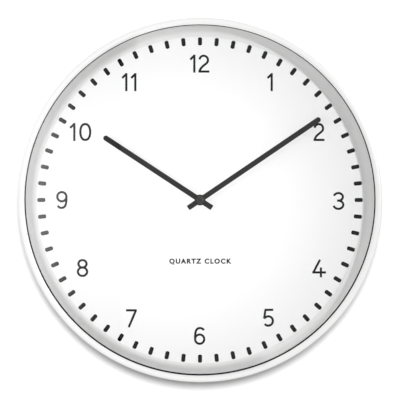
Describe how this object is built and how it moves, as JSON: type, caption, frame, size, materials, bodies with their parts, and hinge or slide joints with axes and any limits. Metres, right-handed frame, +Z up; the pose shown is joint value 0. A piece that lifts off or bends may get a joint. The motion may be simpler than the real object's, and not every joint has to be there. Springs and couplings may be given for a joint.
{
  "type": "wall clock",
  "caption": "Round white wall clock with a deep rim, clear lens, plain white dial with printed numerals, two black hands and a battery quartz movement behind.",
  "frame": {"origin": "centre of the hanging keyhole's slot end, on the wall plane, where the nail's shank carries the clock", "axes": "+Y points into the wall, the dial faces -Y, +Z is up, +X is to the viewer's right"},
  "size_m": [0.305, 0.044, 0.305],
  "materials": {
    "case_plastic": "white moulded plastic with a soft sheen",
    "back_plastic": "white moulded plastic, fine matt texture",
    "lens": "clear, smooth",
    "lens_seal": "matt black",
    "dial": "matt white paint, printed in black",
    "hands": "satin black paint",
    "movement_plastic": "black moulded plastic, fine texture",
    "knob_plastic": "black moulded plastic, ribbed",
    "brass": "turned brass",
    "rubber": "matt black",
    "iron": "stamped soft iron",
    "spring_steel": "plated steel",
    "screw_steel": "zinc plated",
    "copper": "enamelled copper wire",
    "circuit_board": "green solder mask",
    "epoxy": "black epoxy",
    "gear_plastic": "natural acetal",
    "magnet": "bonded ferrite",
    "battery": "printed metal sleeve with no lettering"
  },
  "bodies": {
    "case": {"case_ring": "case_plastic", "lens_seal": "lens_seal", "lens": "lens", "rehaut_ring": "case_plastic", "back_cover": "back_plastic", "back_screw_1": "screw_steel", "back_screw_2": "screw_steel", "back_screw_3": "screw_steel", "back_screw_4": "screw_steel", "back_screw_5": "screw_steel", "back_screw_6": "screw_steel", "dial": "dial", "movement_front_case": "movement_plastic", "movement_rear_cover": "movement_plastic", "threaded_bush": "brass", "rubber_washer": "rubber", "brass_washer": "brass", "mounting_nut": "brass", "stator": "iron", "coil_core": "iron", "coil_bobbin": "gear_plastic", "coil_winding": "copper", "circuit_board": "circuit_board", "chip_blob": "epoxy", "quartz_crystal": "spring_steel", "battery_contact_positive": "spring_steel", "battery_contact_negative": "spring_steel"},
    "minute": {"minute_hand": "hands", "hand_cap_nut": "hands", "cannon_pinion": "gear_plastic", "friction_spring": "spring_steel"},
    "hour": {"hour_hand": "hands", "hour_wheel": "gear_plastic"},
    "setting": {"motion_wheel": "gear_plastic", "setting_knob": "knob_plastic"},
    "rotor": {"rotor_pinion": "gear_plastic", "rotor_magnet": "magnet"},
    "intermediate": {"intermediate_wheel": "gear_plastic"},
    "second": {"second_wheel": "gear_plastic"},
    "third": {"third_wheel": "gear_plastic"},
    "centre": {"centre_wheel": "gear_plastic"},
    "battery": {"aa_battery": "battery"}
  },
  "joints": [
    {"name": "minute_turn", "type": "hinge", "parent": "case", "child": "minute", "pos_m": [0, -0.012, -0.118], "axis": [0, 1, 0], "continuous": true},
    {"name": "hour_turn", "type": "hinge", "parent": "case", "child": "hour", "pos_m": [0, -0.012, -0.118], "axis": [0, 1, 0], "continuous": true},
    {"name": "setting_turn", "type": "hinge", "parent": "case", "child": "setting", "pos_m": [0, -0.012, -0.106], "axis": [0, 1, 0], "continuous": true},
    {"name": "rotor_turn", "type": "hinge", "parent": "case", "child": "rotor", "pos_m": [-0.013, -0.012, -0.1086], "axis": [0, 1, 0], "continuous": true},
    {"name": "intermediate_turn", "type": "hinge", "parent": "case", "child": "intermediate", "pos_m": [-0.0116, -0.012, -0.118], "axis": [0, 1, 0], "continuous": true},
    {"name": "second_turn", "type": "hinge", "parent": "case", "child": "second", "pos_m": [0, -0.012, -0.118], "axis": [0, 1, 0], "continuous": true},
    {"name": "third_turn", "type": "hinge", "parent": "case", "child": "third", "pos_m": [0.0112, -0.012, -0.118], "axis": [0, 1, 0], "continuous": true},
    {"name": "centre_turn", "type": "hinge", "parent": "case", "child": "centre", "pos_m": [0, -0.012, -0.118], "axis": [0, 1, 0], "continuous": true},
    {"name": "battery_slide", "type": "slide", "parent": "case", "child": "battery", "axis": [0, 1, 0], "range_m": [0, 0.03]}
  ],
  "couplings": [
    {"joint": "hour_turn", "follows": "minute_turn", "ratio": 0.083333},
    {"joint": "setting_turn", "follows": "minute_turn", "ratio": -0.33333},
    {"joint": "intermediate_turn", "follows": "rotor_turn", "ratio": -0.16667},
    {"joint": "second_turn", "follows": "rotor_turn", "ratio": 0.033333},
    {"joint": "third_turn", "follows": "rotor_turn", "ratio": -0.0041667},
    {"joint": "centre_turn", "follows": "rotor_turn", "ratio": 0.00055556}
  ]
}
